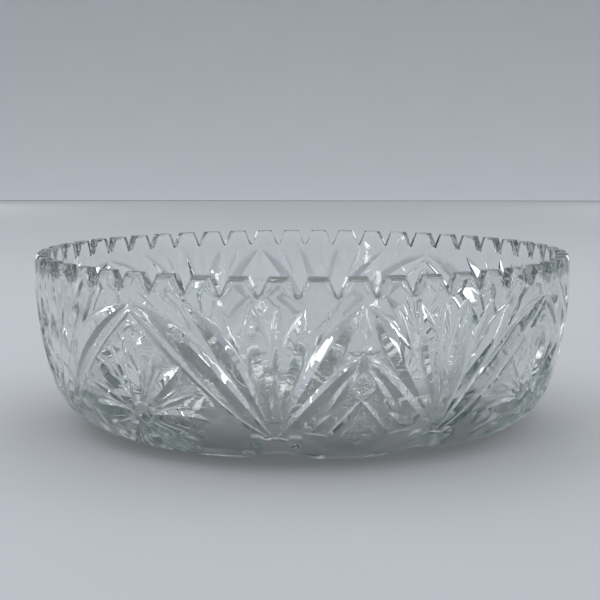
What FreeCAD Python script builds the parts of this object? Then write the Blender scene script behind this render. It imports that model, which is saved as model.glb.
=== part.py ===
import FreeCAD, Part
import math
import os

import Sketcher

# Punch bowl of heavy clear glass: one piece, standing on its own foot.
#
# The wall is one turned shape about the vertical axis, with a toothed rim.
# Straight V-shaped mitre cuts are ground into its outside, in four equal
# sectors.  Every sector holds one chevron panel between two fans, and one
# star under a pointed arch.  All lengths are millimetres, angles degrees.
# The frame has +Z up, with the origin in the middle of the resting plane.

# alias, value, what it is
DRIVING_DIMENSIONS = (
    ("rim_diameter", 280.0, "outside of the rim band"),
    ("bowl_height", 90.0, "resting plane to the tops of the teeth"),
    ("band_height", 14.0, "upright band under the tops of the teeth"),
    ("side_radius", 160.0, "profile radius of the side"),
    ("heel_radius", 34.0, "profile radius where the side turns under"),
    ("inner_heel_radius", 34.0, "profile radius inside, side to floor"),
    ("underside_rise", 3.0, "slope of the underside, foot to heel"),
    ("wall_thickness", 6.4, "glass at the rim and side"),
    ("floor_thickness", 9.0, "resting plane to the floor inside"),
    ("foot_diameter", 168.0, "outside of the resting ring"),
    ("foot_width", 14.0, "width of the resting ring"),
    ("foot_recess", 1.5, "height of the hollow inside the ring"),
    ("rim_bevel", 1.2, "bevel along the outside of the teeth"),
    ("tooth_count", 50, "teeth round the rim"),
    ("notch_depth", 8.0, "top of a tooth down to the root"),
    ("notch_width", 8.8, "opening between two tooth tops"),
    ("notch_root", 1.0, "flat at the bottom of a notch"),
    ("sector_count", 4, "equal sectors of the cut pattern"),
    ("pattern_turn", 12.0, "front of the bowl to the first chevron"),
    ("cut_angle", 120.0, "angle between the sides of a mitre cut"),
    ("groove_depth", 1.1, "depth of the arch and chevron grooves"),
    ("leaf_depth", 0.2, "depth of a leaf at its points"),
    ("petal_depth", 0.6, "depth of a star's petal at its points"),
    ("petal_length", 36.0, "length of a star's petal"),
    ("button_radius", 7.0, "centre of a star to the start of a petal"),
)

# Places on the outside, each (turn, drop): degrees from the middle of the
# chevron panel, and millimetres of height under the tops of the teeth.
# Both are mirrored to the other side of the panel.
VALLEY = (16.6, 72.0)
ARCH = ((44.0, 15.0), (36.0, 22.0), (27.0, 45.0), VALLEY)
CHEVRON = ((0.6, 34.0), (8.5, 54.0), VALLEY)
INNER_CHEVRON = ((0.5, 57.0), (6.5, 73.0))
FAN = (
    ((30.5, 13.0), (18.8, 64.0)),
    ((20.5, 12.5), (17.3, 61.0)),
    ((11.0, 12.0), (15.7, 61.5)),
    ((1.6, 12.5), (14.2, 63.0)),
)
STAR_CENTRE = (45.0, 63.0)
PETALS = 8

WHEEL_REACH = 9.0   # height of the V that makes a cut
RUN_OUT = 0.4       # how far a cut runs on past each of its two places
PETAL_DROP = 0.6    # most of the height under a star's centre that a petal takes
TINY = 1e-6


def value(alias):
    """The driving dimension with this alias."""
    for name, number, _ in DRIVING_DIMENSIONS:
        if name == alias:
            return number
    raise KeyError(alias)


def make_sheet(doc):
    """Put the driving dimensions in a spreadsheet, one alias each."""
    sheet = doc.addObject("Spreadsheet::Sheet", "Dimensions")
    for row, (alias, number, meaning) in enumerate(DRIVING_DIMENSIONS, start=1):
        sheet.set(f"A{row}", str(number))
        sheet.setAlias(f"A{row}", alias)
        sheet.set(f"B{row}", meaning)
    doc.recompute()
    return sheet


def origin_feature(body, role):
    """The body's own origin plane or axis with this role."""
    for feature in body.Origin.OriginFeatures:
        if feature.Role == role:
            return feature
    raise LookupError(role)


def add_sketch(body, name, plane, offset=None):
    """A new sketch of the body on one of its origin planes."""
    sketch = body.newObject("Sketcher::SketchObject", name)
    sketch.AttachmentSupport = [(origin_feature(body, plane), "")]
    sketch.MapMode = "FlatFace"
    if offset is not None:
        sketch.AttachmentOffset = offset
    return sketch


def vector(x, y, z=0.0):
    """Short for a FreeCAD vector."""
    return FreeCAD.Vector(x, y, z)


class Profile:
    """The outside of the wall, as radius and height."""

    def __init__(self):
        self.rim_radius = value("rim_diameter") / 2
        self.height = value("bowl_height")
        self.band_foot = self.height - value("band_height")
        self.side_radius = value("side_radius")
        self.heel_radius = value("heel_radius")
        self.side_centre = vector(self.rim_radius - self.side_radius, self.band_foot)
        foot = vector(value("foot_diameter") / 2, 0)
        rise = math.radians(value("underside_rise"))
        along = vector(math.cos(rise), math.sin(rise))
        upward = vector(-math.sin(rise), math.cos(rise))
        # The heel's centre is heel_radius above the underside, and as far
        # from the side's centre as the difference of the two radii.
        start = foot + upward * self.heel_radius - self.side_centre
        reach = self.side_radius - self.heel_radius
        half = start.dot(along)
        run = -half + math.sqrt(half * half - start.dot(start) + reach * reach)
        self.heel_centre = self.side_centre + start + along * run
        self.underside_end = foot + along * run
        outward = (self.heel_centre - self.side_centre).normalize()
        self.heel_end = self.side_centre + outward * self.side_radius

    def radius_at(self, height):
        """Radius of the outside at a height above the underside's end."""
        if height >= self.band_foot:
            return self.rim_radius
        if height >= self.heel_end.y:
            rise = height - self.side_centre.y
            return self.side_centre.x + math.sqrt(self.side_radius ** 2 - rise ** 2)
        rise = height - self.heel_centre.y
        return self.heel_centre.x + math.sqrt(self.heel_radius ** 2 - rise ** 2)

    def point(self, turn, height):
        """The point of the outside at a turn from the front, at a height."""
        angle = math.radians(turn - 90)
        radius = self.radius_at(height)
        return vector(radius * math.cos(angle), radius * math.sin(angle), height)

    def outward(self, turn, height):
        """The direction straight out of the glass at that point."""
        angle = math.radians(turn - 90)
        centre = self.side_centre
        if height < self.heel_end.y:
            centre = self.heel_centre
        lean = vector(self.radius_at(height), height) - centre
        if height >= self.band_foot:
            lean = vector(1, 0)
        lean.normalize()
        return vector(lean.x * math.cos(angle), lean.x * math.sin(angle), lean.y)


def add_wall(body, profile):
    """Turn the section of foot, side, rim and floor about the axis."""
    sketch = add_sketch(body, "WallSection", "XZ_Plane")
    rim, top, band = profile.rim_radius, profile.height, profile.band_foot
    wall, floor = value("wall_thickness"), value("floor_thickness")
    foot = value("foot_diameter") / 2
    ring, recess = foot - value("foot_width"), value("foot_recess")
    bevel, inner_heel = value("rim_bevel"), value("inner_heel_radius")

    # The inside: its side shares the outer side's centre, and its heel
    # touches both the side and the flat floor.
    side_centre, heel_centre = profile.side_centre, profile.heel_centre
    inner_side = profile.side_radius - wall
    heel_height = floor + inner_heel
    drop = heel_height - side_centre.y
    reach = math.sqrt((inner_side - inner_heel) ** 2 - drop ** 2)
    floor_centre = vector(side_centre.x + reach, heel_height)
    lean = (floor_centre - side_centre).normalize()
    inner_meet = side_centre + lean * inner_side
    floor_end = vector(floor_centre.x, floor)

    def arc(centre, radius, start, end):
        first = math.atan2(start.y - centre.y, start.x - centre.x)
        last = math.atan2(end.y - centre.y, end.x - centre.x)
        circle = Part.Circle(centre, vector(0, 0, 1), radius)
        return Part.ArcOfCircle(circle, first, last)

    def line(start, end):
        return Part.LineSegment(vector(*start), vector(*end))

    under, meet = profile.underside_end, profile.heel_end
    recess_top = sketch.addGeometry(line((0, recess), (ring, recess)))
    recess_side = sketch.addGeometry(line((ring, recess), (ring, 0)))
    foot_face = sketch.addGeometry(line((ring, 0), (foot, 0)))
    underside = sketch.addGeometry(line((foot, 0), (under.x, under.y)))
    heel = sketch.addGeometry(arc(heel_centre, profile.heel_radius, under, meet))
    side = sketch.addGeometry(arc(side_centre, profile.side_radius, meet, vector(rim, band)))
    outer_band = sketch.addGeometry(line((rim, band), (rim, top - bevel)))
    bevel_edge = sketch.addGeometry(line((rim, top - bevel), (rim - bevel, top)))
    top_edge = sketch.addGeometry(line((rim - bevel, top), (rim - wall, top)))
    inner_band = sketch.addGeometry(line((rim - wall, top), (rim - wall, band)))
    inner_arc = sketch.addGeometry(
        arc(side_centre, inner_side, inner_meet, vector(rim - wall, band)))
    inner_heel_arc = sketch.addGeometry(
        arc(floor_centre, inner_heel, floor_end, inner_meet))
    floor_line = sketch.addGeometry(line((floor_end.x, floor), (0, floor)))
    axis_line = sketch.addGeometry(line((0, floor), (0, recess)))

    def constrain(*terms):
        return sketch.addConstraint(Sketcher.Constraint(*terms))

    def size(expression, *terms):
        index = constrain(*terms)
        sketch.setExpression(f"Constraints[{index}]", expression)

    start, end, middle = 1, 2, 3
    horizontal_axis, vertical_axis = -1, -2
    for first, second in (
            (recess_top, recess_side), (recess_side, foot_face),
            (foot_face, underside), (outer_band, bevel_edge),
            (bevel_edge, top_edge), (top_edge, inner_band),
            (floor_line, axis_line), (axis_line, recess_top)):
        constrain("Coincident", first, end, second, start)
    constrain("Tangent", underside, end, heel, start)
    constrain("Tangent", heel, end, side, start)
    constrain("Tangent", side, end, outer_band, start)
    constrain("Tangent", inner_band, end, inner_arc, end)
    constrain("Tangent", inner_arc, start, inner_heel_arc, end)
    constrain("Tangent", inner_heel_arc, start, floor_line, start)
    for level in (recess_top, foot_face, top_edge, floor_line):
        constrain("Horizontal", level)
    for upright in (recess_side, outer_band, inner_band):
        constrain("Vertical", upright)
    constrain("PointOnObject", axis_line, start, vertical_axis)
    constrain("PointOnObject", axis_line, end, vertical_axis)
    constrain("PointOnObject", foot_face, start, horizontal_axis)
    constrain("Horizontal", side, end, inner_arc, end)

    sheet = "Dimensions."
    origin = (horizontal_axis, start)
    size(f"{sheet}rim_diameter / 2", "DistanceX", *origin, outer_band, end, rim)
    size(f"{sheet}bowl_height", "DistanceY", *origin, top_edge, start, top)
    size(f"{sheet}bowl_height - {sheet}band_height",
         "DistanceY", *origin, side, end, band)
    size(f"{sheet}rim_bevel", "DistanceX", bevel_edge, end, bevel_edge, start, bevel)
    size(f"{sheet}rim_bevel", "DistanceY", bevel_edge, start, bevel_edge, end, bevel)
    size(f"{sheet}wall_thickness", "DistanceX", top_edge, end, outer_band, end, wall)
    size(f"{sheet}foot_diameter / 2", "DistanceX", *origin, foot_face, end, foot)
    size(f"{sheet}foot_width", "DistanceX", foot_face, start, foot_face, end, foot - ring)
    size(f"{sheet}foot_recess", "DistanceY", *origin, recess_top, start, recess)
    size(f"{sheet}floor_thickness", "DistanceY", *origin, floor_line, end, floor)
    size(f"{sheet}side_radius", "Radius", side, profile.side_radius)
    size(f"{sheet}heel_radius", "Radius", heel, profile.heel_radius)
    size(f"{sheet}side_radius - {sheet}wall_thickness", "Radius", inner_arc, inner_side)
    size(f"{sheet}inner_heel_radius", "Radius", inner_heel_arc, inner_heel)
    rise = math.radians(value("underside_rise"))
    size(f"{sheet}underside_rise * 1 deg",
         "Angle", horizontal_axis, start, underside, start, rise)

    wall_turn = body.newObject("PartDesign::Revolution", "Wall")
    wall_turn.Profile = sketch
    wall_turn.ReferenceAxis = (sketch, ["V_Axis"])
    wall_turn.Angle = 360
    return sketch


def add_teeth(body):
    """Cut one notch through the rim at the front, and repeat it round."""
    sketch = add_sketch(body, "NotchSection", "XZ_Plane")
    sketch.setExpression("AttachmentOffset.Base.z",
                         "Dimensions.rim_diameter / 2 - Dimensions.wall_thickness * 2")
    top, depth = value("bowl_height"), value("notch_depth")
    half, root = value("notch_width") / 2, value("notch_root") / 2
    above = depth / 2
    spread = half + (half - root) * above / depth
    corners = (
        vector(-spread, top + above), vector(-root, top - depth),
        vector(root, top - depth), vector(spread, top + above))
    for index, corner in enumerate(corners):
        sketch.addGeometry(Part.LineSegment(corner, corners[(index + 1) % 4]))
    left, floor, right, lid = range(4)
    start, end, horizontal_axis, vertical_axis = 1, 2, -1, -2
    for first, second in ((left, floor), (floor, right), (right, lid), (lid, left)):
        sketch.addConstraint(Sketcher.Constraint("Coincident", first, end, second, start))
    sketch.addConstraint(Sketcher.Constraint(
        "Symmetric", left, start, right, end, vertical_axis))
    sketch.addConstraint(Sketcher.Constraint(
        "Symmetric", floor, start, floor, end, vertical_axis))
    sheet = "Dimensions."
    spread_rule = (f"{sheet}notch_width * 1.5 - {sheet}notch_root / 2")
    for expression, terms in (
            (f"{sheet}notch_root", ("DistanceX", floor, start, floor, end, 2 * root)),
            (spread_rule, ("DistanceX", lid, end, lid, start, 2 * spread)),
            (f"{sheet}bowl_height - {sheet}notch_depth",
             ("DistanceY", horizontal_axis, start, floor, start, top - depth)),
            (f"{sheet}notch_depth * 1.5",
             ("DistanceY", floor, start, lid, end, depth + above))):
        index = sketch.addConstraint(Sketcher.Constraint(*terms))
        sketch.setExpression(f"Constraints[{index}]", expression)

    notch = body.newObject("PartDesign::Pocket", "Notch")
    notch.Profile = sketch
    notch.Type = 0
    notch.Reversed = True
    notch.setExpression("Length", f"{sheet}wall_thickness * 3")
    teeth = body.newObject("PartDesign::PolarPattern", "Teeth")
    teeth.Originals = [notch]
    teeth.Axis = (origin_feature(body, "Z_Axis"), [""])
    teeth.Angle = 360
    teeth.setExpression("Occurrences", f"{sheet}tooth_count")
    body.Tip = teeth
    return sketch


def add_cut(body, profile, name, begin, finish, depth):
    """Grind one straight V-shaped cut between two places on the outside.

    The bottom of the cut is a straight line, depth under the surface at
    both ends.  The glass bulges between them, so the cut is a leaf there.
    """
    top = value("bowl_height")
    turns = [place[0] + value("pattern_turn") for place in (begin, finish)]
    heights = [top - place[1] for place in (begin, finish)]
    ends = [profile.point(turn, height) for turn, height in zip(turns, heights)]
    along = ends[1] - ends[0]
    length = along.Length
    along.normalize()
    outward = profile.outward(sum(turns) / 2, sum(heights) / 2)
    outward = (outward - along * outward.dot(along)).normalize()
    across = outward.cross(along * -1)
    corner = ends[0] - along * RUN_OUT - outward * depth
    turned = FreeCAD.Rotation(across, outward, along * -1, "ZYX")
    sketch = add_sketch(body, f"{name}Section", "XY_Plane", FreeCAD.Placement(corner, turned))
    half = WHEEL_REACH * math.tan(math.radians(value("cut_angle") / 2))
    corners = (vector(0, 0), vector(half, WHEEL_REACH), vector(-half, WHEEL_REACH))
    for index, point in enumerate(corners):
        sketch.addGeometry(Part.LineSegment(point, corners[(index + 1) % 3]))
    right, lid, left = range(3)
    start, end, origin = 1, 2, (-1, 1)
    for first, second in ((right, lid), (lid, left), (left, right)):
        sketch.addConstraint(Sketcher.Constraint("Coincident", first, end, second, start))
    sketch.addConstraint(Sketcher.Constraint("Coincident", right, start, *origin))
    sketch.addConstraint(Sketcher.Constraint("Horizontal", lid))
    sketch.addConstraint(Sketcher.Constraint("Equal", right, left))
    sketch.addConstraint(Sketcher.Constraint(
        "DistanceY", right, start, right, end, WHEEL_REACH))
    index = sketch.addConstraint(Sketcher.Constraint(
        "Angle", right, start, left, end, math.radians(value("cut_angle"))))
    sketch.setExpression(f"Constraints[{index}]", "Dimensions.cut_angle * 1 deg")
    cut = body.newObject("PartDesign::Pocket", name)
    cut.Profile = sketch
    cut.Type = 0
    cut.Length = length + 2 * RUN_OUT
    return sketch, cut


def mirrored(place, side):
    """The place itself (side 1), or on the panel's other side (side -1)."""
    return (place[0] * side, place[1])


def sector_cuts():
    """Name, two places and depth of every cut of one sector."""
    groove, leaf = value("groove_depth"), value("leaf_depth")
    cuts = []
    for side, hand in ((-1, "Left"), (1, "Right")):
        for title, path in (("Arch", ARCH), ("Chevron", CHEVRON), ("InnerChevron", INNER_CHEVRON)):
            for number, (begin, finish) in enumerate(zip(path, path[1:]), start=1):
                cuts.append((f"{title}{hand}{number}",
                             mirrored(begin, side), mirrored(finish, side), groove))
        for number, (begin, finish) in enumerate(FAN, start=1):
            cuts.append((f"Leaf{hand}{number}",
                         mirrored(begin, side), mirrored(finish, side), leaf))
    degrees_per_mm = math.degrees(2 / value("rim_diameter"))
    for number in range(PETALS):
        angle = 2 * math.pi * number / PETALS
        turn_step = math.sin(angle) * degrees_per_mm
        drop_step = -math.cos(angle)
        near, far = value("button_radius"), value("petal_length")
        room = (value("bowl_height") - STAR_CENTRE[1]) * PETAL_DROP
        far = min(far, room / max(drop_step, TINY))
        places = [(STAR_CENTRE[0] + turn_step * reach, STAR_CENTRE[1] + drop_step * reach)
                  for reach in (near, far)]
        cuts.append((f"Petal{number + 1}", *places, value("petal_depth")))
    return cuts


def add_pattern(body, profile):
    """Grind one sector's cuts, and repeat the sector round the bowl."""
    sketches, cuts = [], []
    for name, begin, finish, depth in sector_cuts():
        sketch, cut = add_cut(body, profile, name, begin, finish, depth)
        sketches.append(sketch)
        cuts.append(cut)
    sectors = body.newObject("PartDesign::PolarPattern", "Sectors")
    sectors.Originals = cuts
    sectors.Axis = (origin_feature(body, "Z_Axis"), [""])
    sectors.Angle = 360
    sectors.setExpression("Occurrences", "Dimensions.sector_count")
    body.Tip = sectors
    return sketches


def check(doc, body, sketches):
    """Stop if any object failed, or any step left the glass unchanged."""
    for thing in doc.Objects:
        if "Invalid" in thing.State or "Error" in thing.State:
            raise RuntimeError(f"{thing.Name} failed: {thing.State}")
    for sketch in sketches:
        if not sketch.FullyConstrained:
            raise RuntimeError(f"{sketch.Name} is not fully constrained")
    shape = body.Shape
    if shape.isNull() or not shape.isValid() or len(shape.Solids) != 1:
        raise RuntimeError(f"{body.Label} is not one valid solid")
    previous = None
    for feature in body.Group:
        if not feature.isDerivedFrom("PartDesign::Feature"):
            continue
        volume = feature.Shape.Volume
        if previous is not None and not volume < previous - TINY:
            raise RuntimeError(f"{feature.Name} cut nothing")
        previous = volume


def main():
    doc = FreeCAD.newDocument("PunchBowl")
    make_sheet(doc)
    bowl = doc.addObject("PartDesign::Body", "Bowl")
    bowl.Label = "bowl"
    bowl.Placement = FreeCAD.Placement(vector(0, 0, 0), FreeCAD.Rotation())
    profile = Profile()
    sketches = [add_wall(bowl, profile)]
    sketches += add_pattern(bowl, profile)
    sketches.append(add_teeth(bowl))
    doc.recompute()
    check(doc, bowl, sketches)
    os.makedirs("parts", exist_ok=True)
    bowl.Shape.exportStep(f"parts/{bowl.Label}.step")
    print(f"{bowl.Label}: {bowl.Shape.Volume / 1000:.1f} cm3 of glass")


main()
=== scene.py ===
"""Clear cut-glass punch bowl on a plain studio floor.

The bowl is one closed glass mesh.  Its outside is worked out on an unrolled
flat sheet: x runs round the bowl in millimetres at the rim's radius, and y
runs down the outside from the tops of the teeth.  Every cut is a V-shaped
groove that follows a line on that sheet, and the depth of the glass cut away
is the deepest of all the grooves at a point.
"""

import logging
import math
from dataclasses import dataclass, field
from enum import Enum

import bmesh
import bpy
import numpy as np
from mathutils import Matrix, Vector
from mathutils.geometry import delaunay_2d_cdt


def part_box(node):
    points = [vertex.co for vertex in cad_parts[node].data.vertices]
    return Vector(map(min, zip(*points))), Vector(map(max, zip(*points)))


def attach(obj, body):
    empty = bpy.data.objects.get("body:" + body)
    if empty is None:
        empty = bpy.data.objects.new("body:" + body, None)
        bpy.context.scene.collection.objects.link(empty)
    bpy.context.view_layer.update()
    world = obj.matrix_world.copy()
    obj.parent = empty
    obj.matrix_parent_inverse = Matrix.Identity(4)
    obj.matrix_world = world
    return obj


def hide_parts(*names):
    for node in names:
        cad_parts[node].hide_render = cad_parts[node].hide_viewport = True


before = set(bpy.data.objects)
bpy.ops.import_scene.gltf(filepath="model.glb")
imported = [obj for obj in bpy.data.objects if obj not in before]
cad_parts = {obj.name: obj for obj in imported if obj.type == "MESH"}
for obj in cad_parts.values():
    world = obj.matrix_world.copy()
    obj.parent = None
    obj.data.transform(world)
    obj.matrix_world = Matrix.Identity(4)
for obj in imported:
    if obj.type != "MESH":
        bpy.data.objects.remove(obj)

LOG = logging.getLogger("punch_bowl")
MM = 0.001
MERGE = 2e-6


class Hand(Enum):
    """The two mirror images of a half sector."""

    LEFT = -1
    RIGHT = 1


def smooth_step(t: np.ndarray) -> np.ndarray:
    """Ease from 0 to 1: three t squared minus two t cubed."""
    t = np.clip(t, 0.0, 1.0)
    return t * t * (3.0 - 2.0 * t)


@dataclass(frozen=True)
class Section:
    """The turned section of the bowl, in millimetres, z up from the table."""

    rim_radius: float
    height: float
    band_height: float = 14.0
    side_radius: float = 160.0
    heel_radius: float = 34.0
    inner_heel_radius: float = 34.0
    underside_rise: float = 3.0
    wall: float = 6.4
    floor: float = 9.0
    foot_radius: float = 84.0
    foot_width: float = 14.0
    recess: float = 1.5
    samples: int = 500

    def arc(self, centre: np.ndarray, radius: float, first: float, last: float) -> np.ndarray:
        """Points of a circle: centre plus radius times cosine and sine.

        Args:
            centre: Centre as radius and height.
            radius: Radius of the arc.
            first: Start angle in radians.
            last: End angle in radians.

        Returns:
            Points, one row each.
        """
        angle = np.linspace(first, last, self.samples)
        return centre + radius * np.stack([np.cos(angle), np.sin(angle)], axis=1)

    def outside(self) -> np.ndarray:
        """The outline from the top of the band down to the foot's outer edge.

        Returns:
            Points as radius and height, one row each.
        """
        band = self.height - self.band_height
        side_centre = np.array([self.rim_radius - self.side_radius, band])
        rise = math.radians(self.underside_rise)
        along = np.array([math.cos(rise), math.sin(rise)])
        upward = np.array([-math.sin(rise), math.cos(rise)])
        foot = np.array([self.foot_radius, 0.0])
        start = foot + upward * self.heel_radius - side_centre
        reach = self.side_radius - self.heel_radius
        half = float(start @ along)
        run = -half + math.sqrt(half * half - float(start @ start) + reach * reach)
        heel_centre = side_centre + start + along * run
        lean = heel_centre - side_centre
        meet = math.atan2(lean[1], lean[0])
        under = rise - math.pi / 2
        return np.concatenate([
            np.array([[self.rim_radius, self.height]]),
            self.arc(side_centre, self.side_radius, 0.0, meet),
            self.arc(heel_centre, self.heel_radius, meet, under)[1:],
            foot[None, :]])

    def inside(self) -> np.ndarray:
        """The outline inside, from the top of the band down to the flat floor.

        Returns:
            Points as radius and height, one row each.
        """
        band = self.height - self.band_height
        side_centre = np.array([self.rim_radius - self.side_radius, band])
        side = self.side_radius - self.wall
        drop = self.floor + self.inner_heel_radius - band
        reach = math.sqrt((side - self.inner_heel_radius) ** 2 - drop ** 2)
        heel_centre = side_centre + np.array([reach, drop])
        meet = math.atan2(drop, reach)
        return np.concatenate([
            np.array([[self.rim_radius - self.wall, self.height]]),
            self.arc(side_centre, side, 0.0, meet),
            self.arc(heel_centre, self.inner_heel_radius, meet, -math.pi / 2)[1:]])


class Skin:
    """One turned surface, read by the distance travelled down its outline."""

    def __init__(self, outline: np.ndarray) -> None:
        """Keep the outline and its running length.

        Args:
            outline: Points as radius and height, from the rim down.
        """
        steps = np.hypot(*np.diff(outline, axis=0).T)
        self.run = np.concatenate([[0.0], np.cumsum(steps)])
        self.outline = outline
        slope = np.gradient(outline, self.run, axis=0)
        self.tangent = slope / np.linalg.norm(slope, axis=1, keepdims=True)

    @property
    def length(self) -> float:
        """Length of the outline."""
        return float(self.run[-1])

    def points(self, turn: np.ndarray, run: np.ndarray, depth: np.ndarray) -> np.ndarray:
        """Place points on the skin, sunk along its normal.

        The normal is the outline's tangent turned a quarter turn outwards.
        Radius and height come from the run, and the turn spreads them round
        the axis from the front of the bowl, clockwise seen from below.

        Args:
            turn: Angles from the front in radians.
            run: Distances down the outline.
            depth: How far each point is sunk into the glass.

        Returns:
            Points in millimetres, one row each.
        """
        radius, height, out_r, out_z = (
            np.interp(run, self.run, values)
            for values in (self.outline[:, 0], self.outline[:, 1],
                           -self.tangent[:, 1], self.tangent[:, 0]))
        radius = radius - depth * out_r
        height = height - depth * out_z
        return around(turn, radius, height)


def around(turn: np.ndarray, radius: np.ndarray, height: np.ndarray) -> np.ndarray:
    """Points at a turn from the front (-Y), a radius and a height."""
    turn, radius, height = np.broadcast_arrays(turn, radius, height)
    return np.stack([radius * np.sin(turn), -radius * np.cos(turn), height], axis=-1)


@dataclass(frozen=True)
class Cut:
    """One V-shaped groove on the unrolled sheet.

    Its width is zero at both ends: the half width at a share t of the line
    is half_width times t to the power rise times (1 - t) to the power fall,
    scaled so that its largest value is half_width.  Its two edges are
    rounded over polish on each side, as acid polishing leaves them.
    """

    line: np.ndarray
    half_width: float
    slope: float = 0.5
    rise: float = 1.0
    fall: float = 1.0
    even: bool = False
    polish: float = 0.35

    def widths(self) -> np.ndarray:
        """Half widths at the line's points."""
        steps = np.hypot(*np.diff(self.line, axis=0).T)
        share = np.clip(np.concatenate([[0.0], np.cumsum(steps)]) / steps.sum(), 0.0, 1.0)
        if self.even:
            taper = np.clip(np.minimum(share, 1.0 - share) * steps.sum() / 4.0, 0.0, 1.0)
            return self.half_width * np.sqrt(taper)
        peak = self.rise / (self.rise + self.fall)
        top = peak ** self.rise * (1.0 - peak) ** self.fall
        return self.half_width * share ** self.rise * (1.0 - share) ** self.fall / top

    def depth(self, places: np.ndarray) -> np.ndarray:
        """Depth at places: slope times (half width minus distance), at least 0.

        Within polish of an edge it is the parabola that meets both sides.

        Args:
            places: Points of the sheet, one row each.

        Returns:
            One depth for each place.
        """
        start, width = self.line[:-1], self.widths()
        step = np.diff(self.line, axis=0)
        square = np.maximum((step ** 2).sum(axis=1), 1e-12)
        offset = places[:, None, :] - start[None, :, :]
        share = np.clip((offset * step[None]).sum(axis=2) / square, 0.0, 1.0)
        gap = np.linalg.norm(offset - share[..., None] * step[None], axis=2)
        half = width[:-1] + share * np.diff(width)
        inside = (half - gap).max(axis=1)
        eased = np.maximum(inside + self.polish, 0.0) ** 2 / (4.0 * self.polish)
        return self.slope * np.where(inside > self.polish, inside, eased)

    def creases(self) -> list[np.ndarray]:
        """The groove's bottom line and both sides of its two rounded edges."""
        tangent = np.gradient(self.line, axis=0)
        tangent /= np.linalg.norm(tangent, axis=1, keepdims=True)
        side = np.stack([-tangent[:, 1], tangent[:, 0]], axis=1)
        lines = [self.line]
        for shift in (-self.polish, self.polish):
            reach = np.maximum(self.widths() + shift, 0.0)[:, None]
            lines += [self.line + side * reach, self.line - side * reach]
        return lines

    def mirrored(self, at: float) -> "Cut":
        """The same groove on the other side of the line x = at."""
        line = self.line.copy()
        line[:, 0] = 2.0 * at - line[:, 0]
        return Cut(line, self.half_width, self.slope, self.rise, self.fall, self.even, self.polish)


def curve(points: list[tuple[float, float]], spacing: float) -> np.ndarray:
    """A smooth line through a few points, as evenly spaced points.

    Between two points it is a cubic with the slopes of a Catmull-Rom curve:
    half of the step between a point's two neighbours.

    Args:
        points: The places that the line passes through.
        spacing: Distance between the points of the result.

    Returns:
        Points, one row each.
    """
    knots = np.asarray(points, dtype=float)
    slopes = np.gradient(knots, axis=0)
    fine = np.linspace(0.0, len(knots) - 1.0, 40 * len(knots))
    index = np.minimum(fine.astype(int), len(knots) - 2)
    t = (fine - index)[:, None]
    a, b, da, db = knots[index], knots[index + 1], slopes[index], slopes[index + 1]
    path = (a * (1 + 2 * t) * (1 - t) ** 2 + da * t * (1 - t) ** 2
            + b * t * t * (3 - 2 * t) + db * t * t * (t - 1))
    run = np.concatenate([[0.0], np.cumsum(np.hypot(*np.diff(path, axis=0).T))])
    count = max(int(run[-1] / spacing), 6) + 1
    even = np.linspace(0.0, run[-1], count)
    return np.stack([np.interp(even, run, path[:, k]) for k in range(2)], axis=1)


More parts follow.
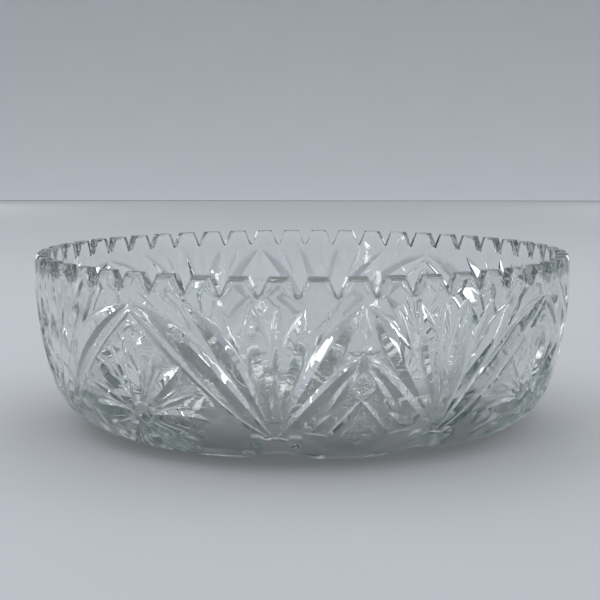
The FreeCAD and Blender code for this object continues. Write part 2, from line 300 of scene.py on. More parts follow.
@dataclass
class CutPattern:
    """The cuts of one half sector, from the chevron's middle to the star's.

    Places are given as degrees from the chevron panel's middle and
    millimetres down the outside from the tops of the teeth.
    """

    rim_radius: float
    half_turn: float = 45.0
    spacing: float = 1.15
    valley: tuple[float, float] = (16.5, 76.0)
    star: tuple[float, float] = (45.0, 67.0)
    star_petals: int = 8
    star_reach: float = 38.0
    button: float = 7.5
    hatch: float = 1.15
    hatch_middle: float = 62.0
    hatch_sunk: float = 0.42
    print_sunk: float = 1.5
    flute_sunk: float = 3.2
    flute_from: float = 77.0
    flute_length: float = 40.0
    cuts: list[Cut] = field(default_factory=list)

    @property
    def per_degree(self) -> float:
        """Millimetres of rim in one degree."""
        return self.rim_radius * math.pi / 180.0

    @property
    def width(self) -> float:
        """Width of the half sector on the sheet."""
        return self.half_turn * self.per_degree

    def line(self, *places: tuple[float, float]) -> np.ndarray:
        """A smooth line through places given in degrees and millimetres."""
        return curve([(turn * self.per_degree, run) for turn, run in places], self.spacing)

    def add_fan(self) -> None:
        """Four broad leaves that open upwards from beside the valley point.

        Between them are narrow leaves along the top.
        """
        self.cuts += [
            Cut(self.line((32.8, 12.6), (25.2, 34.0), (18.0, 67.0)), 4.6, 0.52, 1.0, 1.25),
            Cut(self.line((20.6, 12.2), (18.9, 36.0), (16.9, 66.0)), 4.9, 0.5, 1.0, 1.4),
            Cut(self.line((10.7, 12.2), (13.2, 36.0), (15.9, 66.0)), 4.9, 0.5, 1.0, 1.4),
            Cut(self.line((0.6, 12.6), (7.2, 36.0), (15.0, 68.0)), 6.0, 0.46, 1.0, 1.2),
            Cut(self.line((26.4, 13.4), (22.6, 34.0)), 1.7, 0.32),
            Cut(self.line((15.7, 13.0), (16.1, 36.0)), 1.9, 0.32),
            Cut(self.line((6.0, 13.2), (9.6, 34.0)), 1.7, 0.32),
        ]

    def add_chevrons(self) -> None:
        """Chevron bands of the diamond panel, from the top one down."""
        foot = self.valley
        self.cuts += [
            Cut(self.line((0.35, 34.8), (7.9, 53.5), (16.3, 75.6)), 4.1, 0.5, 0.8, 0.8),
            Cut(self.line((1.0, 41.5), (3.6, 51.0), (6.4, 61.5)), 2.9, 0.55, 1.0, 1.0),
            Cut(self.line((-3.0, 49.0), (0.0, 56.5), (6.4, 74.6)), 1.6, 0.7, even=True),
            Cut(self.line((6.2, 74.6), (10.6, 72.6)), 1.1, 0.6, even=True),
            Cut(self.line((5.6, 62.5), (9.4, 71.5)), 2.4, 0.5),
            Cut(self.line((0.0, 13.4), (0.0, 30.0)), 0.9, 0.4),
            Cut(self.line((-3.2, 32.6), (3.2, 32.6)), 2.2, 0.14),
            Cut(self.line((foot[0] - 4.6, 80.0), foot, (foot[0] + 4.6, 80.0)),
                1.2, 0.6, even=True),
        ]

    def add_arch(self) -> None:
        """The pointed arch over the star, a narrow groove beside a broad one."""
        self.cuts += [
            Cut(self.line((44.4, 14.6), (38.6, 21.5), (32.2, 33.0), (26.8, 46.5),
                          (21.6, 61.5), (16.8, 75.4)), 5.0, 0.42, 0.75, 0.95),
            Cut(self.line((45.4, 16.6), (40.4, 27.0), (35.2, 39.0), (30.2, 51.0),
                          (24.4, 64.0), (18.4, 75.0)), 1.1, 0.7, even=True),
            Cut(self.line((42.8, 27.5), (45.0, 24.0), (47.2, 27.5)), 1.0, 0.6, even=True),
        ]

    def add_star(self) -> None:
        """Petals round a button, with three fine rays between two petals.

        A petal lies along a radius of the star: its angle is a whole number
        of equal steps from straight up.
        """
        centre = np.array([self.star[0] * self.per_degree, self.star[1]])
        step = 2.0 * math.pi / self.star_petals
        share = np.linspace(0.0, 1.0, int(self.star_reach / self.spacing))[:, None]
        for number in range(-1, self.star_petals):
            angle = number * step
            if math.sin(angle) > 0.01:
                continue
            self.cuts.append(self.ray(centre, angle, self.button * 0.75, self.star_reach,
                                      4.2, 0.55, share))
            for offset, reach, half in ((0.28, 0.72, 1.1), (0.5, 0.88, 1.3), (0.72, 0.72, 1.1)):
                self.cuts.append(self.ray(centre, angle + offset * step, self.button * 1.35,
                                          self.star_reach * reach, half, 0.6, share))
        facets = 8
        turn = np.linspace(0.0, 2.0 * math.pi, facets * 4 + 1)[:, None]
        ring = centre + self.button * 0.72 * np.hstack([np.sin(turn), np.cos(turn)])
        self.cuts.append(Cut(ring, 0.9, 0.8, even=True))

    @staticmethod
    def ray(centre: np.ndarray, angle: float, near: float, far: float, half: float,
            slope: float, share: np.ndarray) -> Cut:
        """A leaf-shaped cut along a radius of the star, up at angle 0."""
        way = np.array([[math.sin(angle), -math.cos(angle)]])
        return Cut(centre + way * (near + (far - near) * share), half, slope, 0.9, 1.0)

    def prints(self, places: np.ndarray) -> np.ndarray:
        """Depth of the oval thumb prints along the lower edge.

        Each is a shallow bowl: one minus the square of the distance from its
        middle, counted in the oval's own half width and half height.
        """
        depth = np.zeros(len(places))
        for turn, run, half_width, half_height in (
                (12.7, 77.6, 4.3, 4.6), (20.3, 77.6, 4.3, 4.6), (35.5, 82.5, 5.6, 6.2)):
            across = (places[:, 0] - turn * self.per_degree) / half_width
            down = (places[:, 1] - run) / half_height
            depth = np.maximum(depth, self.print_sunk * (1.0 - across ** 2 - down ** 2))
        return depth

    def flute(self, places: np.ndarray) -> np.ndarray:
        """Depth of the hollow flutes that turn under the valley points.

        The hollow is round across: one minus the square of the distance from
        its middle over its half width, and it swells from the valley point
        down and fades out before the foot.
        """
        middle = self.valley[0] * self.per_degree
        down = (places[:, 1] - self.flute_from) / self.flute_length
        half = 7.0 + 19.0 * smooth_step(down * 1.3)
        across = (places[:, 0] - middle) / half
        swell = smooth_step(down * 1.5) * smooth_step((1.12 - down) * 2.4)
        return self.flute_sunk * swell * np.maximum(1.0 - across ** 2, 0.0)

    def hatch_fields(self) -> list[np.ndarray]:
        """Corners of the two finely crossed fields, on the sheet."""
        wide = self.per_degree
        return [
            np.array([[-2.7 * wide, 50.5], [0.0, 42.0], [2.7 * wide, 50.5], [0.0, 55.0]]),
            np.array([[-4.2 * wide, 74.0], [0.0, 63.0], [4.2 * wide, 74.0], [0.0, 83.0]])]

    def hatch_points(self) -> np.ndarray:
        """Crossings, edges and peaks of the crossed grooves inside the fields.

        The lattice is half a groove pitch in both slanting directions.
        """
        count = int(60 / self.hatch)
        steps = np.arange(-count, count) / 2.0
        a, b = np.meshgrid(steps, steps)
        x = (a - b).ravel() * self.hatch / math.sqrt(2.0)
        y = self.hatch_middle + (a + b).ravel() * self.hatch / math.sqrt(2.0)
        places = np.stack([x, y], axis=1)
        inside = np.any([within(places, corners) for corners in self.hatch_fields()], axis=0)
        return places[inside & (self.groove_depth(places) < 0.02)]

    def hatch_depth(self, places: np.ndarray) -> np.ndarray:
        """Depth of the crossed grooves: the deeper of two rows of V grooves.

        It fades out over one groove at the border of a field.
        """
        x, y = places[:, 0], places[:, 1] - self.hatch_middle
        scale = self.hatch * math.sqrt(2.0)
        rows = np.stack([(y + x) / scale, (y - x) / scale])
        valley = 1.0 - 2.0 * np.abs(rows - np.round(rows))
        share = np.max([inset(places, corners) for corners in self.hatch_fields()], axis=0)
        return self.hatch_sunk * valley.max(axis=0) * np.clip(share / self.hatch, 0.0, 1.0)

    def groove_depth(self, places: np.ndarray) -> np.ndarray:
        """The deepest groove at each place."""
        return np.max([cut.depth(places) for cut in self.all_cuts()], axis=0)

    def depth(self, places: np.ndarray) -> np.ndarray:
        """All that is cut away at each place of the sheet."""
        cut = np.maximum(self.groove_depth(places), self.hatch_depth(places))
        cut = np.maximum(cut, self.prints(places))
        return np.maximum(cut, 0.6 * cut + self.flute(places))

    def all_cuts(self) -> list[Cut]:
        """The cuts, with mirror images of those near the two mirror lines."""
        doubled = list(self.cuts)
        for cut in self.cuts:
            reach = cut.half_width + 0.5
            if cut.line[:, 0].min() < reach:
                doubled.append(cut.mirrored(0.0))
            if cut.line[:, 0].max() > self.width - reach:
                doubled.append(cut.mirrored(self.width))
        return doubled

    def make(self) -> None:
        """Lay out every group of cuts."""
        self.add_fan()
        self.add_chevrons()
        self.add_arch()
        self.add_star()


def inset(places: np.ndarray, corners: np.ndarray) -> np.ndarray:
    """How far places lie inside a convex polygon given in order, or below 0."""
    edges = np.roll(corners, -1, axis=0) - corners
    lengths = np.linalg.norm(edges, axis=1)
    offset = places[:, None, :] - corners[None]
    side = edges[None, :, 0] * offset[..., 1] - edges[None, :, 1] * offset[..., 0]
    return np.maximum((side / lengths).min(axis=1), (-side / lengths).min(axis=1))


def within(places: np.ndarray, corners: np.ndarray) -> np.ndarray:
    """Whether places lie inside a convex polygon given in order."""
    return inset(places, corners) > 0.0


@dataclass
class Sheet:
    """The unrolled half sector, divided into triangles along its creases."""

    pattern: CutPattern
    top: float
    bottom: float
    top_steps: int
    bottom_steps: int
    fine: float = 1.4
    coarse: float = 2.8
    coarse_from: float = 92.0
    march: float = 0.9
    slack: float = 0.02
    weld: float = 0.02
    snap: float = 0.05
    margin: float = 0.4
    side_step: float = 1.3

    def frame_lines(self) -> list[np.ndarray]:
        """The four sides, with the points that the rim and the foot share."""
        width = self.pattern.width
        side_count = int((self.bottom - self.top) / self.side_step)
        sides = []
        for steps, run in ((self.top_steps, self.top), (self.bottom_steps, self.bottom)):
            x = np.linspace(0.0, width, steps + 1)
            sides.append(np.stack([x, np.full_like(x, run)], axis=1))
        y = np.linspace(self.top, self.bottom, side_count + 1)
        for x in (0.0, width):
            sides.append(np.stack([np.full_like(y, x), y], axis=1))
        return sides

    def filling(self, lines: list[np.ndarray]) -> np.ndarray:
        """Points between the creases, in a triangular lattice.

        Points next to a crease are left out.

        Args:
            lines: The creases, the ridges and the sides.

        Returns:
            Points of the sheet, one row each.
        """
        width = self.pattern.width
        layers = []
        for spacing, first, last in ((self.fine, self.top, self.coarse_from),
                                     (self.coarse, self.coarse_from, self.bottom)):
            rows = np.arange(first + spacing * 0.7, last - spacing * 0.3, spacing * 0.866)
            columns = np.arange(0.0, width, spacing)
            x, y = np.meshgrid(columns, rows)
            x = x + (np.arange(len(rows)) % 2)[:, None] * spacing / 2
            layer = np.stack([x.ravel(), y.ravel()], axis=1)
            starts = np.concatenate([line[:-1] for line in lines])
            ends = np.concatenate([line[1:] for line in lines])
            layers.append(layer[distance_to(layer, starts, ends) > spacing * 0.5])
        points = np.concatenate(layers)
        low = np.array([0.0, self.top]) + self.margin
        high = np.array([width, self.bottom]) - self.margin
        points = points[np.all((points > low) & (points < high), axis=1)]
        cells = np.unique(np.round(points / (self.fine * 0.45)).astype(int),
                          axis=0, return_index=True)[1]
        return points[np.sort(cells)]

    def ridges(self) -> list[np.ndarray]:
        """Short pieces of the lines where two grooves meet.

        A lattice is labelled with the deepest groove at each point.  On a
        lattice edge between two labels the ridge crosses where the two
        depths are equal, found in proportion, and a small triangle of the
        lattice holds the piece between its two crossings.

        Returns:
            Pieces of two points each.
        """
        x, y = np.meshgrid(np.arange(0.0, self.pattern.width + self.march, self.march),
                           np.arange(self.top, self.coarse_from, self.march))
        places = np.stack([x.ravel(), y.ravel()], axis=1)
        table = np.stack([cut.depth(places) for cut in self.pattern.all_cuts()])
        label = np.where(table.max(axis=0) > 0.0, table.argmax(axis=0), -1)
        number = np.arange(len(places)).reshape(x.shape)
        here, right = number[:-1, :-1].ravel(), number[:-1, 1:].ravel()
        below, far = number[1:, :-1].ravel(), number[1:, 1:].ravel()
        pieces = []
        for corners in np.concatenate([np.stack([here, right, far], axis=1),
                                       np.stack([here, far, below], axis=1)]):
            names = label[corners]
            if names.min() < 0 or len(set(names.tolist())) != 2:
                continue
            crossings = []
            for a, b in zip(corners, np.roll(corners, -1)):
                if label[a] != label[b]:
                    lead = table[label[a], a] - table[label[b], a]
                    lag = table[label[b], b] - table[label[a], b]
                    share = np.clip(lead / max(lead + lag, 1e-9), 0.02, 0.98)
                    crossings.append(places[a] + share * (places[b] - places[a]))
            pieces.append(np.array(crossings))
        return pieces

    def bare(self, line: np.ndarray, cuts: list[Cut], owner: Cut) -> list[np.ndarray]:
        """The parts of a crease that no other groove has cut away."""
        own = owner.depth(line)
        others = np.max([cut.depth(line) for cut in cuts if cut is not owner], axis=0)
        kept = others <= own + self.slack
        ends = np.flatnonzero(np.diff(kept.astype(int))) + 1
        parts = zip(np.split(line, ends), np.split(kept, ends))
        return [part for part, keep in parts if keep[0] and len(part) > 1]

    def triangles(self) -> tuple[np.ndarray, np.ndarray]:
        """Divide the sheet, with an edge along every crease.

        Points within snap of a side are put on it, so that the half sector
        and its mirror image share them.

        Returns:
            The points of the sheet, and three point numbers per triangle.
        """
        cuts = self.pattern.all_cuts()
        creases = [part for cut in self.pattern.cuts for line in cut.creases()
                   for part in self.bare(line, cuts, cut)]
        creases += self.ridges()
        fields = self.pattern.hatch_fields()
        creases += [np.concatenate([corners, corners[:1]]) for corners in fields]
        sides = self.frame_lines()
        hatch = self.pattern.hatch_points()
        points, edges, count = [], [], 0
        for line in sides + creases:
            number = np.arange(count, count + len(line))
            points.append(line)
            edges += list(zip(number[:-1].tolist(), number[1:].tolist()))
            count += len(line)
        filling = self.filling(sides + creases)
        for corners in fields:
            filling = filling[~within(filling, corners)]
        points += [hatch[hatch[:, 0] > 0.2], filling]
        flat = [Vector(place) for place in np.concatenate(points)]
        placed, _, faces, *_ = delaunay_2d_cdt(flat, edges, [], 0, self.weld, False)
        sheet = np.array([tuple(place) for place in placed])
        for side in (0.0, self.pattern.width):
            sheet[np.abs(sheet[:, 0] - side) < self.snap, 0] = side
        corners = np.array([face for face in faces if len(face) == 3])
        middle = sheet[corners].mean(axis=1)
        keep = ((middle[:, 0] > 0) & (middle[:, 0] < self.pattern.width)
                & (middle[:, 1] > self.top) & (middle[:, 1] < self.bottom))
        flat_on_side = np.ptp(sheet[corners, 0], axis=1) == 0.0
        used, renumbered = np.unique(corners[keep & ~flat_on_side], return_inverse=True)
        return sheet[used], renumbered.reshape(-1, 3)


def distance_to(points: np.ndarray, starts: np.ndarray, ends: np.ndarray) -> np.ndarray:
    """Distance from each point to the nearest of many straight pieces."""
    step = ends - starts
    square = np.maximum((step ** 2).sum(axis=1), 1e-12)
    nearest = np.full(len(points), np.inf)
    for block in np.array_split(np.arange(len(starts)), max(len(starts) // 200, 1)):
        offset = points[:, None, :] - starts[None, block]
        share = np.clip((offset * step[block]).sum(axis=2) / square[block], 0.0, 1.0)
        gap = np.linalg.norm(offset - share[..., None] * step[block], axis=2)
        nearest = np.minimum(nearest, gap.min(axis=1))
    return nearest


@dataclass
class Rim:
    """The toothed rim, in columns that follow the outline of each tooth."""

    section: Section
    teeth: int = 50
    notch_depth: float = 8.0
    notch_width: float = 8.8
    root_width: float = 1.0
    bevel_drop: float = 2.7
    bevel_side: float = 2.1
    bevel_in: float = 1.25
    ring: float = 11.5
    flank_points: int = 5
    top_points: int = 13
    slant_shares: tuple[float, float, float] = (0.14, 0.84, 1.14)
    slant_root: float = 1.35
    slant_flank: float = 0.9
    sag: float = 0.15
    lip_sag: float = 0.2
    lip_spread: float = 0.3
    lip_round: float = 0.5
    edge_in: float = 0.3

    @property
    def columns(self) -> int:
        """Columns all round the rim."""
        return self.teeth * (1 + 2 * self.flank_points + self.top_points)

    def outline(self, root: tuple[float, float], low: tuple[float, float],
                high: tuple[float, float]) -> np.ndarray:
        """One tooth's outline from a notch's middle to the next notch's middle.

        Args:
            root: Middle of the notch's bottom.
            low: Lower end of the flank.
            high: Upper end of the flank.

        Returns:
            Places along the rim and below the tops, one row each.
        """
        pitch = 2.0 * math.pi * self.section.rim_radius / self.teeth
        up = np.linspace(low, high, self.flank_points)
        across = np.linspace(high[0], pitch - high[0], self.top_points + 2)[1:-1]
        top = np.stack([across, np.full_like(across, high[1])], axis=1)
        down = up[::-1] * (-1.0, 1.0) + (pitch, 0.0)
        return np.concatenate([[root], up, top, down])

    def row(self, tooth: np.ndarray, radius: float) -> np.ndarray:
        """Repeat one tooth's outline round the rim at a radius."""
        pitch = 2.0 * math.pi / self.teeth
        turn = tooth[None, :, 0] / self.section.rim_radius + np.arange(self.teeth)[:, None] * pitch
        height = np.broadcast_to(self.section.height - tooth[:, 1], turn.shape)
        return around(turn.ravel(), radius, height.ravel())

    def rows(self) -> list[np.ndarray]:
        """Rings of points from the outer wall over the teeth to the inner wall."""
        outer, inner = self.section.rim_radius, self.section.rim_radius - self.section.wall
        half, root = self.notch_width / 2, self.root_width / 2
        depth, drop = self.notch_depth, self.bevel_drop
        sag = self.sag
        edge = self.outline((0.0, depth + sag), (root, depth), (half, 0.0))
        lip = self.outline((0.0, depth + sag + self.lip_sag),
                           (root + self.lip_sag, depth + self.lip_sag),
                           (half + self.lip_spread, self.lip_round))
        slant = [self.outline((0.0, depth + sag + self.slant_root * share),
                              (root + share, depth + self.slant_flank * share),
                              (half + self.bevel_side * share, drop * share))
                 for share in self.slant_shares]
        bevel = slant[-1]
        even = np.arange(self.columns) * 2.0 * math.pi / self.columns
        blend = bevel.copy()
        count = len(bevel)
        pitch = 2.0 * math.pi * outer / self.teeth
        blend[:, 0] = 0.5 * bevel[:, 0] + 0.5 * np.arange(count) * pitch / count
        blend[:, 1] = np.maximum(0.35 * bevel[:, 1] + 0.65 * self.ring, bevel[:, 1] + 0.3)
        ring = self.section.height - self.ring
        return [
            around(even, outer, ring),
            self.row(blend, outer),
            self.row(bevel, outer),
            self.row(slant[1], outer - self.bevel_in * (1.0 - self.slant_shares[1])),
            self.row(slant[0], outer - self.bevel_in * (1.0 - self.slant_shares[0])),
            self.row(edge, outer - self.bevel_in - self.edge_in),
            self.row(edge, inner + self.lip_round),
            self.row(lip, inner),
            around(even, inner, ring)]


def ring_faces(lower: np.ndarray, upper: np.ndarray) -> np.ndarray:
    """Quads between two closed rings of equally many points."""
    return np.stack([lower, np.roll(lower, -1), np.roll(upper, -1), upper], axis=1)


def stitch_faces(many: np.ndarray, few: np.ndarray) -> list[list[int]]:
    """Faces between a ring and one with a whole fraction of its points."""
    ratio = len(many) // len(few)
    groups = many.reshape(len(few), ratio)
    following = np.roll(many, -ratio).reshape(len(few), ratio)[:, :1]
    faces = np.concatenate([np.roll(few, -1)[:, None], few[:, None], groups, following], axis=1)
    return faces.tolist()


class MeshMaker:
    """Collects rings and sheets of points and makes one closed mesh."""

    def __init__(self) -> None:
        """Start with no points and no faces."""
        self.points: list[np.ndarray] = []
        self.faces: list[list[int]] = []
        self.count = 0

    def add(self, points: np.ndarray) -> np.ndarray:
        """Add points and give their numbers."""
        points = np.atleast_2d(points)
        numbers = np.arange(self.count, self.count + len(points))
        self.points.append(points)
        self.count += len(points)
        return numbers

    def add_rings(self, rings: list[np.ndarray]) -> list[np.ndarray]:
        """Add rings of equally many points, joined by quads in order."""
        numbers = [self.add(ring) for ring in rings]
        for lower, upper in zip(numbers, numbers[1:]):
            self.faces += ring_faces(lower, upper).tolist()
        return numbers

    def close(self, ring: np.ndarray, centre: tuple[float, float, float]) -> None:
        """Close a ring with triangles to a point."""
        pole = int(self.add(np.array([centre]))[0])
        self.faces += [[a, b, pole] for a, b in zip(ring.tolist(), np.roll(ring, -1).tolist())]

    def finish(self, name: str, sharp: float) -> bpy.types.Object:
        """Make the object: doubles merged, faces outwards, creases sharp.

        Args:
            name: Name of the piece.
            sharp: Angle in radians above which an edge stays a crease.

        Returns:
            The new object, linked to the scene.
        """
        mesh = bpy.data.meshes.new(name)
        points = np.concatenate(self.points) * MM
        mesh.from_pydata(points.tolist(), [], self.faces)
        work = bmesh.new()
        work.from_mesh(mesh)
        bmesh.ops.remove_doubles(work, verts=work.verts, dist=MERGE)
        bmesh.ops.triangulate(work, faces=[f for f in work.faces if len(f.verts) > 4])
        bmesh.ops.recalc_face_normals(work, faces=work.faces)
        work.to_mesh(mesh)
        open_edges = sum(1 for edge in work.edges if not edge.is_manifold)
        triangles = sum(len(face.verts) - 2 for face in work.faces)
        work.free()
        mesh.shade_smooth()
        mesh.set_sharp_from_angle(angle=sharp)
        piece = bpy.data.objects.new(name, mesh)
        bpy.context.scene.collection.objects.link(piece)
        LOG.info("%s: %d triangles, %d open edges", name, triangles, open_edges)
        return piece


@dataclass
class GlassBowl:
    """The bowl: cut outside, toothed rim, smooth inside and star-cut base."""

    section: Section
    sectors: int = 4
    pattern_turn: float = 12.0
    foot_columns: int = 240
    inside_rows: int = 22
    base_star: int = 20
    star_depth: float = 0.9
    star_reach: float = 46.0
    star_rings: int = 14
    floor_shares: tuple[float, ...] = (0.75, 0.5, 0.25, 0.06)
    join_run: float = 3.0
    sharp_angle: float = 30.0

    def build(self) -> bpy.types.Object:
        """Make the whole bowl as one closed mesh.

        Returns:
            The bowl.
        """
        maker = MeshMaker()
        rim = Rim(self.section)
        self.add_outside(maker, rim)
        rim_rings = maker.add_rings(rim.rows())
        self.add_inside(maker, rim, rim_rings[-1])
        self.add_base(maker)
        return maker.finish("glass_bowl", math.radians(self.sharp_angle))

    def add_outside(self, maker: MeshMaker, rim: Rim) -> None:
        """Lay the cut half sector on the wall, mirrored and repeated round."""
        skin = Skin(self.section.outside())
        pattern = CutPattern(self.section.rim_radius)
        pattern.make()
        halves = 2 * self.sectors
        sheet = Sheet(pattern, rim.ring, skin.length, rim.columns // halves,
                      self.foot_columns // halves)
        places, triangles = sheet.triangles()
        depth = pattern.depth(places)
        edge = np.minimum(places[:, 1] - sheet.top, sheet.bottom - places[:, 1])
        depth = np.where(edge < 1e-3, 0.0, depth)
        LOG.info("half sector: %d points, %d triangles", len(places), len(triangles))
        for sector in range(self.sectors):
            middle = math.radians(self.pattern_turn + sector * 360.0 / self.sectors)
            for hand in Hand:
                turn = middle + hand.value * places[:, 0] / self.section.rim_radius
                numbers = maker.add(skin.points(turn, places[:, 1], depth))
                corners = triangles[:, ::hand.value]
                maker.faces += numbers[corners].tolist()

    def add_inside(self, maker: MeshMaker, rim: Rim, rim_ring: np.ndarray) -> None:
        """The smooth inner wall and floor, from the rim down to the middle."""
        skin = Skin(self.section.inside())
        run = np.linspace(rim.ring + self.join_run, skin.length, self.inside_rows)
        turn = np.arange(self.foot_columns) * 2.0 * math.pi / self.foot_columns
        rings = [skin.points(turn, np.full_like(turn, down), 0.0) for down in run]
        floor_radius = skin.outline[-1, 0]
        rings += [around(turn, floor_radius * share, self.section.floor)
                  for share in self.floor_shares]
        numbers = maker.add_rings(rings)
        maker.faces += stitch_faces(rim_ring, numbers[0])
        maker.close(numbers[-1], (0.0, 0.0, self.section.floor))

    def add_base(self, maker: MeshMaker) -> None:
        """The resting ring, and the star cut into the hollow inside it.

        The star's depth is a row of V grooves round the base, one per ray.
        It is the distance to the nearest valley line, as a share, times the
        sine of pi times the radius share to the power 0.6, so every ray
        fades out at the star's middle and at its reach.
        """
        turn = np.arange(self.foot_columns) * 2.0 * math.pi / self.foot_columns
        foot, recess = self.section.foot_radius, self.section.recess
        inner = foot - self.section.foot_width
        rings = [around(turn, foot, 0.0), around(turn, foot - 1.0, 0.0),
                 around(turn, inner + 0.8, 0.0), around(turn, inner, 0.3),
                 around(turn, inner - 1.0, recess)]
        wave = turn * self.base_star / (2.0 * math.pi)
        valley = 2.0 * np.abs(wave - np.round(wave))
        for share in np.linspace(1.0, 0.05, self.star_rings):
            swell = math.sin(math.pi * share) ** 0.6
            depth = self.star_depth * valley * swell
            rings.append(around(turn, self.star_reach * share, recess + depth))
        numbers = maker.add_rings(rings)
        maker.close(numbers[-1], (0.0, 0.0, recess))


def noise(tree: bpy.types.NodeTree, place: bpy.types.Node, scale: float,
          detail: float) -> bpy.types.Node:
    """Add a noise texture on the object's own coordinates."""
    texture = tree.nodes.new("ShaderNodeTexNoise")
    texture.inputs["Scale"].default_value = scale
    texture.inputs["Detail"].default_value = detail
    tree.links.new(place.outputs["Object"], texture.inputs["Vector"])
    return texture


@dataclass(frozen=True)
class ClearGlass:
    """Clear glass with a faint grey-green cast."""

    tint: tuple[float, float, float, float] = (0.955, 0.968, 0.966, 1.0)
    depth_tint: tuple[float, float, float, float] = (0.0, 0.12, 0.09, 1.0)
    depth_density: float = 6.5
    refraction: float = 1.52
    shade: tuple[float, float, float, float] = (0.90, 0.91, 0.91, 1.0)
    polish: tuple[float, float] = (0.0, 0.035)
    ripple: float = 0.10
    smear_scale: float = 28.0
    ripple_scale: float = 60.0

    def make(self) -> bpy.types.Material:
        """Build the material.

        Polish varies a little over the surface, and a faint ripple stands
        for fire polishing.  Shadows let most of the light through.

        Returns:
            The material.
        """
        material = bpy.data.materials.new("clear_glass")
        material.use_nodes = True
        nodes, links = material.node_tree.nodes, material.node_tree.links
        glass = nodes["Principled BSDF"]
        glass.inputs["Base Color"].default_value = self.tint
        glass.inputs["Metallic"].default_value = 0.0
        glass.inputs["Transmission Weight"].default_value = 1.0
        glass.inputs["IOR"].default_value = self.refraction
        place = nodes.new("ShaderNodeTexCoord")
        smears = noise(material.node_tree, place, self.smear_scale, 3.0)
        polish = nodes.new("ShaderNodeMapRange")
        polish.inputs["From Min"].default_value = 0.45
        polish.inputs["From Max"].default_value = 0.8
        polish.inputs["To Min"].default_value = self.polish[0]
        polish.inputs["To Max"].default_value = self.polish[1]
        links.new(smears.outputs["Fac"], polish.inputs["Value"])
        links.new(polish.outputs["Result"], glass.inputs["Roughness"])
        waves = noise(material.node_tree, place, self.ripple_scale, 1.0)
        bump = nodes.new("ShaderNodeBump")
        bump.inputs["Strength"].default_value = self.ripple
        bump.inputs["Distance"].default_value = 0.001
        links.new(waves.outputs["Fac"], bump.inputs["Height"])
        links.new(bump.outputs["Normal"], glass.inputs["Normal"])
        rays = nodes.new("ShaderNodeLightPath")
        clear = nodes.new("ShaderNodeBsdfTransparent")
        clear.inputs["Color"].default_value = self.shade
        mix = nodes.new("ShaderNodeMixShader")
        output = nodes["Material Output"]
        links.new(rays.outputs["Is Shadow Ray"], mix.inputs["Fac"])
        links.new(glass.outputs["BSDF"], mix.inputs[1])
        links.new(clear.outputs["BSDF"], mix.inputs[2])
        links.new(mix.outputs["Shader"], output.inputs["Surface"])
        thickness = nodes.new("ShaderNodeVolumeAbsorption")
        thickness.inputs["Color"].default_value = self.depth_tint
        thickness.inputs["Density"].default_value = self.depth_density
        links.new(thickness.outputs["Volume"], output.inputs["Volume"])
        return material


@dataclass(frozen=True)
class Paper:
    """Matt backdrop paper, faintly mottled."""

    colour: tuple[float, float, float]
    mottle: float = 0.95
    scale: float = 9.0

    def make(self, name: str) -> bpy.types.Material:
        """Build the material under a name."""
        material = bpy.data.materials.new(name)
        material.use_nodes = True
        nodes, links = material.node_tree.nodes, material.node_tree.links
        paper = nodes["Principled BSDF"]
        paper.inputs["Roughness"].default_value = 0.9
        paper.inputs["Specular IOR Level"].default_value = 0.1
        place = nodes.new("ShaderNodeTexCoord")
        cloud = noise(material.node_tree, place, self.scale, 5.0)
        ramp = nodes.new("ShaderNodeValToRGB")
        low = tuple(self.mottle * part for part in self.colour) + (1.0,)
        ramp.color_ramp.elements[0].color = low
        ramp.color_ramp.elements[1].color = self.colour + (1.0,)
        links.new(cloud.outputs["Fac"], ramp.inputs["Fac"])
        links.new(ramp.outputs["Color"], paper.inputs["Base Color"])
        return material


@dataclass(frozen=True)
class Glow:
    """A bright or dark part of the room, round a direction.

    The direction is an azimuth from straight ahead, to the right, and an
    elevation, both in degrees.  The glow is full inside half its reach and
    fades out at the reach.
    """

    azimuth: float
    elevation: float
    reach: float
    strength: float

    def direction(self) -> tuple[float, float, float]:
        """The direction as a unit vector."""
        across, up = math.radians(self.azimuth), math.radians(self.elevation)
        return (math.sin(across) * math.cos(up), math.cos(across) * math.cos(up), math.sin(up))


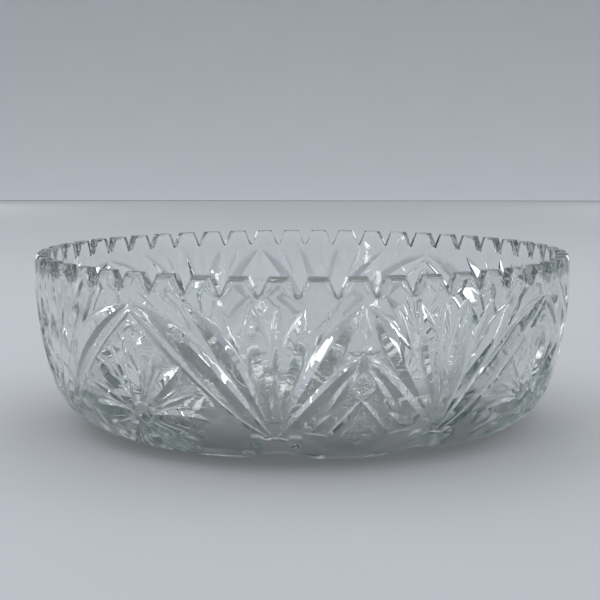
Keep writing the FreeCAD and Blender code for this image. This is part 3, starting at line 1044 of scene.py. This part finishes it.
@dataclass
class Studio:
    """A pale floor, a roll of backdrop paper, soft lights and a plain room."""

    floor_paper: Paper = Paper((0.545, 0.565, 0.588))
    back_paper: Paper = Paper((0.66, 0.675, 0.70))
    floor_half: float = 3.2
    floor_level: float = -0.0002
    back: float = 2.2
    bend: float = 0.8
    side: float = 0.9
    top: float = 0.62
    room: tuple[float, float, float] = (0.53, 0.545, 0.575)
    bounces: int = 28
    darkest: float = 0.08
    glows: tuple[Glow, ...] = (
        Glow(0.0, 90.0, 50.0, 0.6), Glow(-60.0, 30.0, 22.0, 1.2), Glow(65.0, 30.0, 20.0, 1.0),
        Glow(-34.0, 18.0, 14.0, -0.3), Glow(36.0, 18.0, 14.0, -0.3),
        Glow(180.0, 20.0, 60.0, -0.45), Glow(150.0, 40.0, 16.0, 1.6))

    @staticmethod
    def stage_mesh(name: str, outline: np.ndarray, half: float,
                   paper: Paper) -> bpy.types.Object:
        """Carry an outline (y and z) sideways by half a width each way.

        Args:
            name: Name of the stage piece.
            outline: Points as depth and height, one row each.
            half: Half of the width.
            paper: What it is covered with.

        Returns:
            The stage piece.
        """
        across = np.array([-half, half])
        points = np.stack([
            np.tile(across, len(outline)), np.repeat(outline[:, 0], 2),
            np.repeat(outline[:, 1], 2)], axis=1)
        start = np.arange(len(outline) - 1) * 2
        faces = np.stack([start, start + 1, start + 3, start + 2], axis=1)
        mesh = bpy.data.meshes.new(name)
        mesh.from_pydata(points.tolist(), [], faces.tolist())
        mesh.shade_smooth()
        mesh.materials.append(paper.make(f"{name}_paper"))
        piece = bpy.data.objects.new(name, mesh)
        bpy.context.scene.collection.objects.link(piece)
        return piece

    def light(self, name: str, place: tuple[float, float, float], size: tuple[float, float],
              power: float, colour: tuple[float, float, float] = (1.0, 0.99, 0.97)) -> None:
        """A rectangular soft light that faces the bowl."""
        lamp = bpy.data.lights.new(name, "AREA")
        lamp.shape = "RECTANGLE"
        lamp.size, lamp.size_y = size
        lamp.energy = power
        lamp.color = colour
        holder = bpy.data.objects.new(name, lamp)
        bpy.context.scene.collection.objects.link(holder)
        way = Vector((0.0, 0.0, 0.05)) - Vector(place)
        turned = way.to_track_quat("-Z", "Y").to_matrix().to_4x4()
        holder.matrix_world = Matrix.Translation(place) @ turned

    def surroundings(self) -> None:
        """The room: plain where it is seen directly, lit unevenly for the glass.

        Each glow adds its strength times a share that falls from 1 to 0 as
        the cosine to its direction falls from that of half its reach to that
        of its reach.
        """
        world = bpy.data.worlds.new("room")
        bpy.context.scene.world = world
        world.use_nodes = True
        nodes, links = world.node_tree.nodes, world.node_tree.links
        place = nodes.new("ShaderNodeTexCoord")
        total = None
        for glow in self.glows:
            near = nodes.new("ShaderNodeVectorMath")
            near.operation = "DOT_PRODUCT"
            near.inputs[1].default_value = glow.direction()
            links.new(place.outputs["Generated"], near.inputs[0])
            share = nodes.new("ShaderNodeMapRange")
            share.interpolation_type = "SMOOTHSTEP"
            share.inputs["From Min"].default_value = math.cos(math.radians(glow.reach))
            share.inputs["From Max"].default_value = math.cos(math.radians(glow.reach / 2))
            share.inputs["To Max"].default_value = glow.strength
            links.new(near.outputs["Value"], share.inputs["Value"])
            if total is None:
                total = share.outputs["Result"]
                continue
            joined = nodes.new("ShaderNodeMath")
            links.new(total, joined.inputs[0])
            links.new(share.outputs["Result"], joined.inputs[1])
            total = joined.outputs["Value"]
        level = nodes.new("ShaderNodeMath")
        level.inputs[1].default_value = 1.0
        floor = nodes.new("ShaderNodeMath")
        floor.operation = "MAXIMUM"
        floor.inputs[1].default_value = self.darkest
        links.new(total, level.inputs[0])
        links.new(level.outputs["Value"], floor.inputs[0])
        rays = nodes.new("ShaderNodeLightPath")
        seen = nodes.new("ShaderNodeMix")
        links.new(rays.outputs["Is Camera Ray"], seen.inputs["Factor"])
        links.new(floor.outputs["Value"], seen.inputs["A"])
        seen.inputs["B"].default_value = 1.0
        room = nodes["Background"]
        room.inputs["Color"].default_value = self.room + (1.0,)
        links.new(seen.outputs["Result"], room.inputs["Strength"])

    def build(self) -> None:
        """Set up the stage, the lights and the surroundings."""
        flat = np.array([[side * self.floor_half, self.floor_level] for side in (-1.0, 1.0)])
        self.stage_mesh("floor", flat, self.floor_half, self.floor_paper)
        angle = np.linspace(0.0, math.pi / 2, 32)
        rise = np.stack([self.back + self.bend * np.sin(angle),
                         0.0005 + self.bend * (1.0 - np.cos(angle))], axis=1)
        rise = rise[rise[:, 1] < self.top]
        self.stage_mesh("backdrop", rise, self.side, self.back_paper)
        self.light("window", (0.12, 0.75, 1.15), (0.50, 0.32), 2.8)
        self.light("overhead", (-1.0, -0.1, 1.2), (0.7, 0.6), 3.4, (0.97, 0.98, 1.0))
        self.light("key", (-0.35, -1.0, 1.5), (0.24, 0.18), 1.2)
        self.light("back_left", (-0.84, 2.0, 0.33), (0.30, 0.60), 0.9)
        self.light("back_right", (0.84, 2.0, 0.33), (0.30, 0.60), 0.9)
        self.light("left_strip", (-0.80, -0.95, 0.40), (0.05, 0.60), 1.1)
        self.light("right_strip", (0.90, -0.85, 0.40), (0.05, 0.60), 1.1)
        self.surroundings()
        scene = bpy.context.scene
        scene.view_settings.view_transform = "Standard"
        scene.cycles.max_bounces = self.bounces
        scene.cycles.transmission_bounces = self.bounces
        scene.cycles.glossy_bounces = self.bounces
        scene.cycles.transparent_max_bounces = self.bounces
        scene.cycles.caustics_refractive = False
        scene.cycles.caustics_reflective = False


@dataclass(frozen=True)
class Viewpoint:
    """Where the bowl is seen from, in rim radii from the rim's centre."""

    back: float = 5.108
    rise: float = 0.4526
    turn: float = 0.75
    tilt: float = 7.225
    yaw: float = 0.1
    lens: float = 80.8
    sensor: float = 36.0

    def make(self, section: Section) -> None:
        """Add the camera for a bowl of this section."""
        data = bpy.data.cameras.new("camera")
        data.lens = self.lens
        data.sensor_width = self.sensor
        data.clip_start = 0.01
        camera = bpy.data.objects.new("camera", data)
        bpy.context.scene.collection.objects.link(camera)
        turn = math.radians(self.turn)
        reach = section.rim_radius * MM
        camera.location = (self.back * reach * math.sin(turn), -self.back * reach * math.cos(turn),
                           section.height * MM + self.rise * reach)
        camera.rotation_euler = (math.radians(90.0 - self.tilt), 0.0,
                                 turn + math.radians(self.yaw))
        bpy.context.scene.camera = camera


def main() -> None:
    """Build the studio, the camera and the bowl, and note the sizes."""
    logging.basicConfig(level=logging.INFO, format="%(name)s: %(message)s")
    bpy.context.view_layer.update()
    low, high = (np.array(corner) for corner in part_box("bowl"))
    section = Section(rim_radius=float(high[0] - low[0]) / 2 / MM,
                      height=float(high[2] - low[2]) / MM)
    LOG.info("section: rim radius %.2f, height %.2f", section.rim_radius, section.height)
    Studio().build()
    LOG.info("studio ready")
    Viewpoint().make(section)
    bowl = GlassBowl(section).build()
    bowl.data.materials.append(ClearGlass().make())
    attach(bowl, "root")
    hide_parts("bowl")
    LOG.info("glass_bowl rides on root and stands for bowl")


if __name__ == "__main__":
    main()
